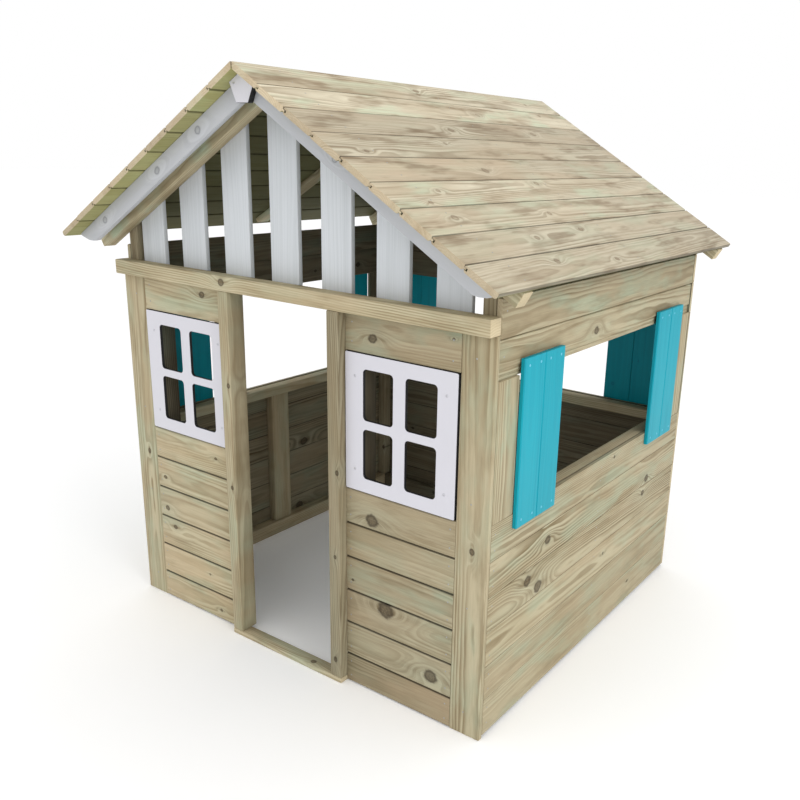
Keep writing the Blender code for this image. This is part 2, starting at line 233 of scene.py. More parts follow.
def grain_field(g):
    """Annual rings, streaks, fibres, slow patches, knots and painted shade of a board, from its own
    attributes.
    """
    along, across, depth = g.split(g.attribute("grain"))
    pith_across, pith_depth, seed = g.split(g.attribute("tree"))
    lean, ring_pitch, wander = g.split(g.attribute("growth"))
    thickness, inner_shade, inner_green = g.split(g.attribute("skin"))
    seam, figure, open_end = g.split(g.attribute("seam"))
    other_seed = g.scale_add(seed, 1.7, 31)

    def cloud(start, stretch, spread, shift, detail, roughness=0.5):
        """Noise over the face, with its frequency along and across the board."""
        place_along = g.scale_add(along, stretch, start)
        return g.noise(g.join(place_along, g.scale_add(across, spread, shift), depth), detail, roughness)

    wobble = cloud(seed, 60, 75, 0, 3, 0.6)
    slow = cloud(seed, 1.5, 5, 0, 3, 0.55)
    patch = cloud(seed, 2.4, 9, 0, 2)
    blotch = cloud(other_seed, 4.6, 15, 7, 3, 0.55)
    smudge = cloud(other_seed, 5, 24, 3, 3, 0.6)
    swell, heart, rim, halo, trail = knot_field(g, along, across, wobble)

    off_across = g.minus(g.scale_add(along, lean, across), pith_across)
    off_depth = g.minus(depth, pith_depth)
    reach = g.maths("SQRT", g.scale_add(off_across, off_across, g.times(off_depth, off_depth)))
    reach = g.maths("ADD", g.maths("ADD", reach, g.times(g.minus(slow, 0.5), wander)), swell)
    ripple = g.noise(g.join(g.scale_add(along, 9, seed), g.times(across, 30), g.times(depth, 30)), 2)
    reach = g.scale_add(ripple, RIPPLE, reach)
    band = g.noise(g.join(g.times(reach, 190), g.scale_add(along, 1.1, seed), 3.0), 3, 0.62)
    broad = g.noise(g.join(g.times(reach, 42), g.scale_add(along, 1.6, seed), 17.0), 3, 0.6)
    phase = g.maths("FRACT", g.over(g.scale_add(band, BAND_RIPPLE, reach), ring_pitch))
    ring = g.times(g.step(phase, 0.2, 0.88), g.step(phase, 1.0, 0.9))
    strand = g.join(g.scale_add(along, 14, seed), g.times(across, 400), g.times(depth, 400))
    fibre = g.noise(strand, 3, 0.65)

    end = g.step(g.maths("ABSOLUTE", g.facing(g.attribute("stem"))), 0.75, 0.95)
    flank = g.invert(end)
    # Painted shade: masks for the inner face and for the walls and chamfers of the joints, darkened as
    # though shadowed; end grain is left out.
    height = g.maths("ADD", depth, thickness)
    inner = g.step(height, CHAMFER_HEIGHT[1], CHAMFER_HEIGHT[0])
    chamfer = g.times(g.step(height, *INNER_FACE), inner)
    recess = g.most(g.times(g.step(depth, *OUTER_FACE), g.invert(inner)), chamfer)
    recess = g.times(recess, flank)
    inner = g.times(inner, flank)
    # Painted light: from the board's start to its open end, under the open eaves, the inner face's painted
    # shade is left off.
    sheltered = g.step(g.minus(along, open_end), *SHELTER)
    return SimpleNamespace(
        ring=ring, band=band, broad=broad, fibre=fibre, patch=patch, blotch=blotch, smudge=smudge,
        heart=heart, rim=rim, halo=halo, trail=trail, wobble=wobble, figure=figure, end=end,
        inner_shade=g.times(g.times(inner, inner_shade), sheltered),
        inner_green=g.times(inner, inner_green),
        seam=g.times(recess, seam),
    )


PLANED_ROUGHNESS = 0.74
SPECULAR = 0.2
GRAIN_RELIEF = 0.0004
SKIN_RELIEF = 0.0002


def wood(name, tints, contrast, knots, grime):
    """Planed softwood, tinted in patches by its treatment."""
    g = Graph(name)
    field = grain_field(g)
    lightness, greenness, warmth = g.split(g.attribute("tone"))
    strength = g.scale_add(g.step(field.patch, 0.25, 0.75), contrast * 0.7, contrast * 0.3)
    strength = g.times(strength, field.figure)
    streak = g.times(g.step(field.band, 0.5, 0.78), field.figure)
    moss = g.times(g.step(field.blotch, 0.46, 0.64), greenness)
    moss = g.times(moss, g.scale_add(g.step(field.band, 0.68, 0.4), 0.6, 0.45), clamp=True)
    dirt = g.times(g.step(field.smudge, 0.48, 0.70), grime)
    dirt = g.times(dirt, g.scale_add(g.step(field.band, 0.32, 0.58), 0.75, 0.4))
    trail = g.times(field.trail, g.step(field.band, 0.35, 0.6))
    turns = g.maths("SINE", g.times(field.wobble, 34.0))
    heart = g.mix(g.scale_add(turns, 0.4, 0.5), tints.heart, tints.rim)
    colour = g.layered(tints.light, (
        (g.times(g.step(field.broad, 0.42, 0.66), contrast), tints.mid),
        (g.times(field.ring, strength), tints.dark),
        (g.times(streak, contrast), tints.dark),
        (moss, tints.green),
        (g.times(g.step(field.patch, 0.6, 0.38), warmth), tints.warm),
        (dirt, tints.dark),
        (g.times(field.halo, 0.4 * knots), tints.halo),
        (g.times(trail, 0.95 * knots), tints.dark),
        (g.times(field.heart, 0.8 * knots), heart),
        (g.times(field.rim, 0.85 * knots), tints.rim),
        (g.times(field.end, 0.6), tints.end),
        (field.inner_green, tints.under),
    ))
    shade = g.times(g.scale_add(field.fibre, 0.5, 0.78), lightness)
    # painted shade on the inner face and inside the joints
    for part in (field.inner_shade, field.seam):
        shade = g.times(shade, g.invert(part))
    height = g.scale_add(field.ring, 0.6, g.times(field.fibre, 1.1))
    height = g.minus(height, g.times(field.rim, 1.2))
    return g.finish(
        Base_Color=g.tint(colour, shade),
        Roughness=g.scale_add(field.fibre, 0.2, PLANED_ROUGHNESS - 0.1),
        Specular_IOR_Level=SPECULAR,
        Normal=g.bump(height, 0.6, GRAIN_RELIEF),
    )


def painted(name, tints, grain, roughness, relief):
    """Paint thin enough for the grain and the knots to read through."""
    g = Graph(name)
    field = grain_field(g)
    lightness, _, warmth = g.split(g.attribute("tone"))
    shown = g.times(g.step(field.band, 0.42, 0.72), grain)
    body = g.layered(tints.colour, (
        (g.scale_add(field.ring, grain * 0.3, shown), tints.deep),
        (g.times(g.step(field.blotch, 0.48, 0.68), warmth), tints.wear),
        (g.times(field.rim, 0.75), tints.deep),
        (g.times(g.times(field.heart, field.wobble), 0.8), tints.deep),
    ))
    shade = g.times(g.scale_add(field.fibre, 0.1, 0.95), lightness)
    # painted shade on the inner face
    shade = g.times(shade, g.invert(field.inner_shade))
    height = g.scale_add(field.ring, 0.6, g.times(field.fibre, 0.8))
    return g.finish(
        Base_Color=g.tint(body, shade),
        Roughness=g.scale_add(field.band, 0.2, roughness - 0.1),
        Specular_IOR_Level=SPECULAR,
        Normal=g.bump(height, relief, GRAIN_RELIEF),
    )


def smooth_board(name, colour, roughness, speckle):
    """A smooth, faintly orange-peeled sheet face, its fibrous core, or a painted screw."""
    g = Graph(name)
    spot = g.attribute("grain")
    peel = g.noise(spot, 3, 0.6, 900)
    cloud = g.noise(spot, 2, 0.5, 9)
    return g.finish(
        Base_Color=g.tint(colour[:3], g.scale_add(cloud, speckle, 1.0 - speckle / 2)),
        Roughness=g.scale_add(cloud, 0.12, roughness - 0.06),
        Normal=g.bump(peel, 0.12, SKIN_RELIEF),
    )


def zinc(name, colour, roughness):
    """Dull plated steel."""
    g = Graph(name)
    cloud = g.noise(g.attribute("grain"), 3, 0.6, 400)
    return g.finish(
        Base_Color=g.tint(colour[:3], g.scale_add(cloud, 0.3, 0.85)),
        Roughness=g.scale_add(cloud, 0.25, roughness - 0.1),
        Metallic=0.85,
        Normal=g.bump(cloud, 0.1, SKIN_RELIEF),
    )


# ---- piece helpers
BOARD = 0.014  # thickness of the wall and roof boards
SMOOTH_ANGLE = radians(38)  # edges sharper than this stay sharp in the shading
EASED_ANGLE = radians(50)  # edges sharper than this are rounded
PLAIN_SKIN = (1.0, 0.0, 0.0)
ALWAYS_SHELTERED = -0.1
PLAIN_SEAM = (0.0, 1.0, ALWAYS_SHELTERED)
PINE_TONE = (0.92, 0.45, 0.25)
# painted shade: the posts are darkened, as they are mostly seen in shadow inside the house
SHADED_POST_TONE = (0.62, 0.45, 0.25)
SHADED_TONE = (0.22, 0.45, 0.25)
# painted shade: the back bottom rail is darkened, as it lies in shadow inside
SHADED_BACK_RAIL_TONE = (0.3, 0.3, 0.25)
SMALL_KNOTS = (0.004, 0.007)
MIDDLING_KNOTS = (0.004, 0.008)
LARGE_KNOTS = (0.004, 0.011)
TINY_KNOTS = (0.003, 0.005)


def set_vectors(mesh, name, values):
    """A vector for each point of a mesh, or one vector for all."""
    layer = mesh.attributes.new(name, "FLOAT_VECTOR", "POINT")
    if isinstance(values, tuple):
        values = list(values) * len(mesh.vertices)
    layer.data.foreach_set("vector", values)


def growth_of(name, width, knots, tone, cathedral, skin=PLAIN_SKIN, seam=PLAIN_SEAM):
    """How a board was cut from its tree: its pith, its rings, its knots and its tint.

    The tone is how light, green and warm it is. The skin is the board's thickness, how much painted shade
    darkens its inner face and how much greener that face is. The seam shade is how much painted shade
    darkens its joints, how strongly its rings show, and how far from its start the inner face is left
    unshaded.
    """
    dice = random.Random(name)
    across = width * dice.uniform(0.1, 0.9) if cathedral else width * dice.choice((-1.2, 2.2))
    depth = -dice.uniform(0.03, 0.075)
    look = {
        "tree": (across, depth, dice.uniform(0, 60)),
        "growth": (dice.uniform(-0.03, 0.03), dice.uniform(0.0042, 0.0068), dice.uniform(0.012, 0.03)),
        "tone": (
            tone[0] * dice.uniform(0.94, 1.05),
            min(1.0, tone[1] * dice.uniform(0.4, 1.6)),
            min(1.0, tone[2] * dice.uniform(0.3, 1.6)),
        ),
        "skin": skin,
        "seam": seam,
    }
    chosen = list(knots) + [SPARE_KNOT] * len(KNOTS)
    look.update(zip(KNOTS, chosen))
    return look


def random_knots(name, length, width, most, sizes):
    """Knots at seeded places, kept off the ends."""
    dice = random.Random(name + " knots")
    knots = []
    for _ in range(dice.randint(0, most)):
        along = dice.uniform(0.06, length - 0.06)
        across = dice.uniform(0.15, 0.85) * width
        knots.append((along, across, dice.uniform(*sizes)))
    return knots


def grain_places(mesh, origin, axes):
    """Each point's distances along, across and out of a board."""
    along, across, out = axes
    places = []
    for vertex in mesh.vertices:
        offset = vertex.co - origin
        places += [offset.dot(along), offset.dot(across), offset.dot(out)]
    return places


def finish_mesh(shape, name, materials, origin, axes, look):
    """A bmesh as a piece, with its grain attributes."""
    mesh = bpy.data.meshes.new(name)
    shape.to_mesh(mesh)
    shape.free()
    for material in materials:
        mesh.materials.append(material)
    set_vectors(mesh, "grain", grain_places(mesh, origin, axes))
    for key, value in look.items():
        set_vectors(mesh, key, tuple(value))
    set_vectors(mesh, "stem", tuple(axes[0]))
    mesh.shade_smooth()
    mesh.set_sharp_from_angle(angle=SMOOTH_ANGLE)
    piece = bpy.data.objects.new(name + "_look", mesh)
    bpy.context.scene.collection.objects.link(piece)
    return piece


def place(piece, slot, *nodes):
    """A piece rides on the house and stands for CAD nodes; its slot is not used."""
    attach(piece, "root")
    if nodes:
        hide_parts(*nodes)
    return piece


def ease_edges(shape, width, segments=2):
    """Round the sharp outside edges."""
    sharp = []
    for edge in shape.edges:
        if edge.is_manifold and edge.calc_face_angle_signed(0.0) > EASED_ANGLE:
            sharp.append(edge)
    bmesh.ops.bevel(
        shape, geom=sharp, offset=width, offset_type="OFFSET", segments=segments, profile=0.5,
        affect="EDGES", clamp_overlap=True,
    )


def sweep(shape, section, origin, axes, run):
    """A closed section (across, out) carried along a board, from run[0] to run[1]."""
    along, across, out = axes
    ring = [shape.verts.new(origin + along * run[0] + across * u + out * v) for u, v in section]
    face = shape.faces.new(ring)
    made = bmesh.ops.extrude_face_region(shape, geom=[face])
    moved = [item for item in made["geom"] if isinstance(item, bmesh.types.BMVert)]
    bmesh.ops.translate(shape, verts=moved, vec=along * (run[1] - run[0]))


def cut_ends(shape, cuts):
    """Saw through a board at planes (point, outward normal)."""
    for point, normal in cuts:
        parts = shape.verts[:] + shape.edges[:] + shape.faces[:]
        cut = bmesh.ops.bisect_plane(shape, geom=parts, plane_co=point, plane_no=normal, clear_outer=True)
        edges = [item for item in cut["geom_cut"] if isinstance(item, bmesh.types.BMEdge)]
        bmesh.ops.contextual_create(shape, geom=edges)


def board(name, origin, axes, section, run, look, ease, nodes=(), cuts=(), grain=None, slot="treated_pine"):
    """One timber piece: section (across, out) along axes[0], its ends sawn, its edges eased.

    The grain is an (origin, axes) pair where it does not follow the sweep.
    """
    shape = bmesh.new()
    sweep(shape, section, origin, axes, run)
    bmesh.ops.recalc_face_normals(shape, faces=shape.faces[:])
    cut_ends(shape, cuts)
    bmesh.ops.recalc_face_normals(shape, faces=shape.faces[:])
    ease_edges(shape, ease)
    piece = finish_mesh(shape, name, [finishes[slot]], *(grain or (origin, axes)), look)
    place(piece, slot, *nodes)


def rectangle(width, thickness):
    """A plain section, its outer face at zero."""
    return [(0, 0), (width, 0), (width, -thickness), (0, -thickness)]


TONGUE_HALF = 0.0023
TONGUE_TIP = 0.8  # the tip's thickness, as a share of the root's
TONGUE_REACH = 0.0055
GROOVE_PLAY = 0.0003
GROOVE_SPARE = 0.0008


def tongued(cover, thickness, gap, outer, inner, tongue, groove):
    """A tongue-and-groove section: across from 0 to cover, the outer face at zero."""
    low, high = gap / 2, cover - gap / 2
    mid = -thickness / 2
    section = [(low + outer, 0), (high - outer, 0), (high, -outer)]
    if tongue:
        tip = high + TONGUE_REACH
        section += [(high, mid + TONGUE_HALF), (tip, mid + TONGUE_HALF * TONGUE_TIP)]
        section += [(tip, mid - TONGUE_HALF * TONGUE_TIP), (high, mid - TONGUE_HALF)]
    section += [(high, -thickness + inner), (high - inner, -thickness)]
    section += [(low + inner, -thickness), (low, -thickness + inner)]
    if groove:
        wide, deep = TONGUE_HALF + GROOVE_PLAY, TONGUE_REACH + GROOVE_SPARE + gap
        section += [(low, mid - wide), (low + deep, mid - wide)]
        section += [(low + deep, mid + wide), (low, mid + wide)]
    section += [(low, -outer)]
    return section


def outer_corner(low, high, out):
    """The lowest corner of a box's face that looks towards out."""
    return Vector([high[i] if out[i] > 0.5 else low[i] for i in range(3)])


def squared(name, along, out, knots=None, tone=PINE_TONE, ease=0.0028, inner_shade=0.0):
    """A squared timber in the place of a CAD node, grain along one axis, best face towards out."""
    low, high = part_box(name)
    across = Vector([1 - abs(a) - abs(b) for a, b in zip(along, out)])
    size = high - low
    length, width, thickness = size.dot(along), size.dot(across), abs(size.dot(out))
    if knots is None:
        knots = random_knots(name, length, width, 2, MIDDLING_KNOTS)
    look = growth_of(name, width, knots, tone, width > 0.06, (thickness, inner_shade, 0.0))
    origin, axes = outer_corner(low, high, out), (along, across, out)
    board(name, origin, axes, rectangle(width, thickness), (0, length), look, ease, (name,))


def stack(node, along, out, heights, section_of, knots, tone, cuts=(), inner_shade=0.42, figures=None):
    """Horizontal boards one above the other in the place of a CAD node."""
    low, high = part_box(node)
    start = outer_corner(low, high, out)
    length = (high - low).dot(along)
    count = len(heights) - 1
    for number, (bottom, top) in enumerate(zip(heights, heights[1:])):
        name = node + "_" + str(number + 1)
        chosen = knots.get(number)
        if chosen is None:
            chosen = random_knots(name, length, top - bottom, 3, LARGE_KNOTS)
        figure = figures[number] if figures else 0.9
        # painted shade in the joints of every board but the top one
        seam = (0.6 if number < count - 1 else 0.0, figure, ALWAYS_SHELTERED)
        look = growth_of(name, top - bottom, chosen, tone, True, (BOARD, inner_shade, 0.0), seam)
        origin = Vector((start.x, start.y, bottom))
        section = section_of(top - bottom, number, count)
        board(name, origin, (along, Z, out), section, (0, length), look, 0.0007, (node,), cuts)


def courses(node, cover):
    """The heights of the joints between a node's six boards, counted down from its top."""
    low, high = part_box(node)
    return [low.z] + [high.z - cover * step for step in (5, 4, 3, 2, 1, 0)]


HEAD_POINTS = 16
HEAD_RINGS = ((1.0, -0.4), (1.0, 0.25), (0.8, 0.8), (0.55, 1.0))  # shares of the radius and the height
CROSS_RINGS = ((1.0, 0.95), (0.7, 0.2))  # the recess: its scale, and its share of the height
CROSS_ARM, CROSS_NECK = 0.44, 0.16  # shares of the radius


def heads(name, slot, material, places, radius, height, recess=True):
    """Round heads at (point, normal), in one piece, with a cross recess when they are screws."""
    shape = bmesh.new()
    outlines = [([part] * HEAD_POINTS, lift) for part, lift in HEAD_RINGS]
    if recess:
        cross = [CROSS_ARM if index % 4 == 0 else CROSS_NECK for index in range(HEAD_POINTS)]
        outlines += [([size * scale for size in cross], lift) for scale, lift in CROSS_RINGS]
    for point, normal in places:
        side = normal.orthogonal().normalized()
        other = normal.cross(side)
        rings = []
        for sizes, lift in outlines:
            ring = []
            for index, size in enumerate(sizes):
                angle = 2 * pi * index / HEAD_POINTS
                offset = side * cos(angle) + other * sin(angle)
                ring.append(shape.verts.new(point + offset * radius * size + normal * height * lift))
            rings.append(ring)
        for inner, outer in zip(rings, rings[1:]):
            for index in range(HEAD_POINTS):
                after = (index + 1) % HEAD_POINTS
                shape.faces.new((inner[index], inner[after], outer[after], outer[index]))
        shape.faces.new(rings[-1])
        shape.faces.new(rings[0][::-1])
    bmesh.ops.recalc_face_normals(shape, faces=shape.faces[:])
    place(finish_mesh(shape, name, [material], Vector((0, 0, 0)), (X, Y, Z), {}), slot)


# ---- finishes
pine_tints = palette(
    light=(192, 182, 152), mid=(172, 158, 126), dark=(128, 110, 78),
    green=(170, 184, 158), warm=(186, 164, 132), halo=(192, 194, 168),
    heart=(108, 94, 72), rim=(66, 54, 40), end=(202, 186, 154), under=(140, 142, 96),
)
roof_tints = palette(
    light=(197, 188, 165), mid=(174, 160, 135), dark=(126, 108, 84),
    green=(180, 186, 160), warm=(186, 166, 140), halo=(208, 204, 182),
    heart=(148, 128, 104), rim=(110, 92, 72), end=(190, 172, 142), under=(146, 147, 88),
)
PAINTS = {  # colours of paint, grain and wear; how far the grain shows, roughness, relief
    "turquoise": ((10, 158, 176), (8, 122, 144), (40, 168, 194), 0.3, 0.5, 0.35),
    "pale_grey": ((205, 209, 213), (178, 184, 186), (212, 216, 206), 0.35, 0.6, 0.3),
    "lavender_grey": ((186, 188, 192), (128, 130, 134), (194, 196, 197), 0.2, 0.6, 0.3),
}
finishes = {
    "treated_pine": wood("planed_pine", pine_tints, contrast=0.78, knots=0.9, grime=0.35),
    "roof_pine": wood("roof_boards", roof_tints, contrast=0.7, knots=0.6, grime=0.75),
}
for paint, (colour, deep, wear, *rest) in PAINTS.items():
    shades = palette(colour=colour, deep=deep, wear=wear)
    finishes[paint + "_paint"] = painted(paint + "_over_grain", shades, *rest)
white_face = smooth_board("white_sheet_face", linear(207, 206, 213), roughness=0.38, speckle=0.03)
black_core = smooth_board("black_sheet_core", linear(22, 22, 24), roughness=0.6, speckle=0.3)
zinc_head = zinc("zinc_plate", linear(200, 200, 205), roughness=0.45)
nail_head = zinc("galvanised_nail", linear(168, 168, 164), roughness=0.55)
painted_head = smooth_board("painted_screw", linear(96, 186, 208), roughness=0.4, speckle=0.2)


# ---- roof geometry from the frame
CLEARANCE = 0.0004  # between a timber and what lies over or under it
MITRE_GAP = 0.0002  # from the ridge plane to each half of the roof
roof_low, roof_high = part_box("roof_boards_right")
pitch = radians(30)  # a first guess, refined until both edges of the slope fit
for _ in range(8):
    pitch = atan((roof_high.z - roof_low.z - BOARD * cos(pitch)) / roof_high.x)
RIDGE = roof_high.z - BOARD / cos(pitch)


def under_roof(x, clearance=0.0):
    """Height of the roof boards' underside at x."""
    return RIDGE - tan(pitch) * abs(x) - clearance / cos(pitch)


def slope_axes(side):
    """Directions down a slope and square out of it."""
    return Vector((side * cos(pitch), 0, -sin(pitch))), Vector((side * sin(pitch), 0, cos(pitch)))


def ridge_cut(side):
    """The plane that mitres a slope's timbers at the ridge."""
    return Vector((side * MITRE_GAP, 0, 0)), X * -side


# ---- front wall
COVER_FRONT = 0.090
front_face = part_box("front_stile_right")[0].y
FRONT_KNOTS = {
    "left": {
        0: [(0.24, 0.03, 0.004)], 1: [(0.2, 0.05, 0.003)], 2: [(0.06, 0.066, 0.006)],
        3: [(0.03, 0.028, 0.007)], 4: [(0.03, 0.033, 0.005)], 5: [(0.25, 0.05, 0.004)],
    },
    "right": {
        0: [], 1: [(0.26, 0.036, 0.015)], 2: [(0.123, 0.072, 0.018)],
        3: [(0.02, 0.03, 0.003)], 4: [], 5: [(0.08, 0.024, 0.014)],
    },
}
FRONT_TONES = {"left": (0.99, 0.45, 0.35), "right": (0.74, 0.35, 0.5)}


def front_section(cover, number, count):
    """Boards with an open joint between them."""
    return tongued(cover, BOARD, 0.0032, 0.0022, 0.001, number < count - 1, number > 0)


def tight_section(cover, number, count):
    """Boards closed up to a hairline."""
    return tongued(cover, BOARD, 0.0008, 0.0008, 0.0016, number < count - 1, number > 0)


FRONT_TIMBERS = (  # node, grain, face, knots (place along, place across, radius), tone, edge radius
    ("threshold", X, Z, [(0.289, 0.014, 0.006)], PINE_TONE, 0.002),
    ("lintel", X, -Y, [(0.42, 0.022, 0.008)], (1.0, 0.3, 0.2)),
    ("front_stile_left", Z, -Y, [(0.448, 0.05, 0.006)], (0.88, 0.3, 0.3)),
    ("front_stile_right", Z, -Y, [(0.47, 0.045, 0.006)], (0.94, 0.6, 0.2)),
    ("door_jamb_left", Z, -Y, [(0.70, 0.026, 0.005), (0.423, 0.022, 0.005)], (0.88, 0.3, 0.3)),
    (
        "door_jamb_right", Z, -Y, [(0.555, 0.028, 0.005), (0.335, 0.02, 0.004), (0.05, 0.018, 0.006)],
        (0.62, 0.1, 0.45),
    ),
    ("front_top_board_left", X, -Y, [(0.23, 0.064, 0.008)], (0.97, 0.3, 0.2), 0.0012),
    (
        "front_top_board_right", X, -Y, [(0.08, 0.036, 0.009), (0.297, 0.068, 0.003)],
        (0.80, 0.5, 0.3), 0.0012,
    ),
)


def build_front():
    """Threshold, lintel, stiles, jambs and boards."""
    for timber in FRONT_TIMBERS:
        squared(*timber)
    for label in LABELS:
        node = "front_lower_boards_" + label
        heights = courses(node, COVER_FRONT)
        knots, tone = FRONT_KNOTS[label], FRONT_TONES[label]
        stack(node, X, -Y, heights, front_section, knots, tone, figures=[0.7] * 6)


PANE = (0.086, 0.1205)
PANE_ROUND = 0.010
SHEET_ROUND = 0.004
MULLION = 0.0345
GLAZING_BAR = 0.021
SCREW_MARGIN = 0.058  # both side margins of a window's screws together
SCREW_RISE = 0.112  # from a window's middle to its screws
ROUND_STEPS = 6


def rounded(low, high, radius):
    """A rectangle with round corners, anticlockwise."""
    points = []
    corners = (
        (high[0] - radius, high[1] - radius),
        (low[0] + radius, high[1] - radius),
        (low[0] + radius, low[1] + radius),
        (high[0] - radius, low[1] + radius),
    )
    for quarter, (u, v) in enumerate(corners):
        for step in range(ROUND_STEPS + 1):
            angle = (quarter + step / ROUND_STEPS) * pi / 2
            points.append((u + radius * cos(angle), v + radius * sin(angle)))
    return points


def sheet_piece(name, outlines, front, rear):
    """A white-faced sheet with a black core, cut to outlines (x, z), in the place of its CAD node."""
    curve = bpy.data.curves.new(name, "CURVE")
    curve.dimensions = "2D"
    curve.fill_mode = "BOTH"
    curve.extrude = (rear - front) / 2
    for outline in outlines:
        spline = curve.splines.new("POLY")
        spline.points.add(len(outline) - 1)
        for point, (u, v) in zip(spline.points, outline):
            point.co = (u, v, 0.0, 1.0)
        spline.use_cyclic_u = True
    drawn = bpy.data.objects.new(name + "_outline", curve)
    bpy.context.scene.collection.objects.link(drawn)
    bpy.context.view_layer.update()
    mesh = bpy.data.meshes.new_from_object(drawn.evaluated_get(bpy.context.evaluated_depsgraph_get()))
    bpy.data.objects.remove(drawn, do_unlink=True)
    shape = bmesh.new()
    shape.from_mesh(mesh)
    bpy.data.meshes.remove(mesh)
    bmesh.ops.remove_doubles(shape, verts=shape.verts, dist=0.00001)
    for vertex in shape.verts:
        u, v, w = vertex.co
        vertex.co = (u, (front + rear) / 2 - w, v)
    bmesh.ops.recalc_face_normals(shape, faces=shape.faces[:])
    ease_edges(shape, 0.0005, 1)
    for face in shape.faces:
        face.material_index = 0 if abs(face.normal.y) > 0.9 else 1
    piece = finish_mesh(shape, name, [white_face, black_core], Vector((0, front, 0)), (X, Z, -Y), {})
    place(piece, "white_board", name)


def build_windows():
    """The two white sheets, each with four panes and four screws."""
    for label in LABELS:
        node = "window_board_" + label
        low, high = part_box(node)
        centre, middle = (low.x + high.x) / 2, (low.z + high.z) / 2
        outlines = [rounded((low.x, low.z), (high.x, high.z), SHEET_ROUND)]
        places = []
        for across in (-1, 1):
            for up in (-1, 1):
                u = centre + across * (MULLION + PANE[0]) / 2
                v = middle + up * (GLAZING_BAR + PANE[1]) / 2
                corner = (u - PANE[0] / 2, v - PANE[1] / 2)
                outlines.append(rounded(corner, (u + PANE[0] / 2, v + PANE[1] / 2), PANE_ROUND))
                x = centre + across * (high.x - low.x - SCREW_MARGIN) / 2
                places.append((Vector((x, low.y, middle + up * SCREW_RISE)), -Y))
        sheet_piece(node, outlines, low.y, high.y)
        heads("window_screws_" + label, "white_board", zinc_head, places, 0.0036, 0.0012)


STUD = 0.036


def build_studs():
    """Studs behind the front wall, each with the packer that its window sheet is screwed to."""
    deep = front_face + BOARD + 0.0003
    for label in LABELS:
        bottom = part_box("front_lower_boards_" + label)[1].z + CLEARANCE
        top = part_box("front_top_board_" + label)[0].z - CLEARANCE
        for spot in ("inner", "outer"):
            node = "window_stud_" + label + "_" + spot
            low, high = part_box(node)
            section = [
                (0, -deep), (bottom, -deep), (bottom, -low.y), (top, -low.y),
                (top, -deep), (high.z, -deep), (high.z, -high.y), (0, -high.y),
            ]
            knots = random_knots(node, 0.95, STUD, 2, SMALL_KNOTS)
            look = growth_of(node, STUD, knots, SHADED_TONE, False)
            origin = Vector((low.x, 0, 0))
            grain = (origin, (Z, X, -Y))
            run = (0, high.x - low.x)
            board(node, origin, (X, Z, -Y), section, run, look, 0.0015, (node,), (), grain)


# ---- posts, side and back walls
POST = 0.032


def build_posts():
    """Corner posts with sloping tops under the roof boards."""
    for label, side in SIDES:
        for spot in SPOTS:
            node = "corner_post_" + spot + "_" + label
            low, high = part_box(node)
            cut = (Vector((low.x, 0, under_roof(low.x, CLEARANCE))), slope_axes(side)[1])
            look = growth_of(node, POST, random_knots(node, 1.1, POST, 2, SMALL_KNOTS), SHADED_POST_TONE, False)
            section = rectangle(high.x - low.x, high.y - low.y)
            origin, run = Vector((low.x, low.y, 0)), (0, high.z + 0.02)
            board(node, origin, (Z, X, -Y), section, run, look, 0.0025, (node,), (cut,))


SIDE_COVER = 0.087
SIDE_FIGURES = (0.5, 0.55, 0.7, 1.5, 1.5, 1.0)
SIDE_KNOTS = {  # by board from the ground; a board that is not named gets random ones
    "left": {0: [(0.608, 0.052, 0.013)], 1: [], 2: [], 3: [(0.638, 0.02, 0.012)], 5: []},
    "right": {
        0: [(0.80, 0.06, 0.004)], 1: [], 2: [(0.60, 0.05, 0.004)],
        3: [(0.225, 0.022, 0.014), (0.172, 0.058, 0.012), (0.853, 0.064, 0.008)],
        4: [(0.262, 0.045, 0.010), (0.872, 0.018, 0.010)],
        5: [(0.62, 0.07, 0.004)],
    },
}
TOP_BOARD = 0.084
SECOND_BOARD = 0.070
PROUD = 0.003  # how far the top board stands proud of the second
LIP_HEIGHT = 0.024
LIP_DEPTH = 0.004
LIP_GROOVE = (0.0100, 0.0112, 0.0124)
LIP_GROOVE_DEPTH = 0.0014
SHUTTER_THICKNESS = 0.011
SHUTTER_V = 0.0024
SHUTTER_SCREW_INSET = 0.017
SHUTTER_SCREW_PLACES = (0.11, 0.38, 0.62, 0.89)  # shares of the width


def shutter(node, across, out, tone):
    """Two painted boards side by side, with four screws at the top and four at the bottom."""
    low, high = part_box(node)
    origin = outer_corner(low, high, out)
    width = high.x - low.x if across == X else high.y - low.y
    height = high.z - low.z
    cover = width / 2
    for number in (0, 1):
        name = node + "_board_" + str(number + 1)
        section = tongued(cover, SHUTTER_THICKNESS, 0.0008, SHUTTER_V, 0.001, number == 0, number == 1)
        look = growth_of(name, cover, random_knots(name, height, cover, 1, TINY_KNOTS), tone, True)
        start = origin + across * (cover * number)
        axes, run = (Z, across, out), (0, height)
        board(name, start, axes, section, run, look, 0.001, (node,), slot="turquoise_paint")
    places = []
    for end in (SHUTTER_SCREW_INSET, height - SHUTTER_SCREW_INSET):
        for step in SHUTTER_SCREW_PLACES:
            places.append((origin + Z * end + across * (width * step), out))
    heads(node + "_screws", "turquoise_paint", painted_head, places, 0.0030, 0.0010)


def second_board_section(rise):
    """The board over a side opening, with a lip below and a hidden tongue behind the top board."""
    return [
        (0, -LIP_DEPTH), (LIP_GROOVE[0], -LIP_DEPTH), (LIP_GROOVE[1], -LIP_DEPTH - LIP_GROOVE_DEPTH),
        (LIP_GROOVE[2], -LIP_DEPTH), (LIP_HEIGHT, -LIP_DEPTH), (LIP_HEIGHT, 0),
        (rise - 0.0016, 0), (rise, -0.0016), (rise, -0.0046), (rise + 0.0076, -0.0046),
        (rise + 0.0076, -0.0076), (rise + 0.0026, -0.0076), (rise + 0.0026, PROUD - BOARD),
        (0, PROUD - BOARD),
    ]


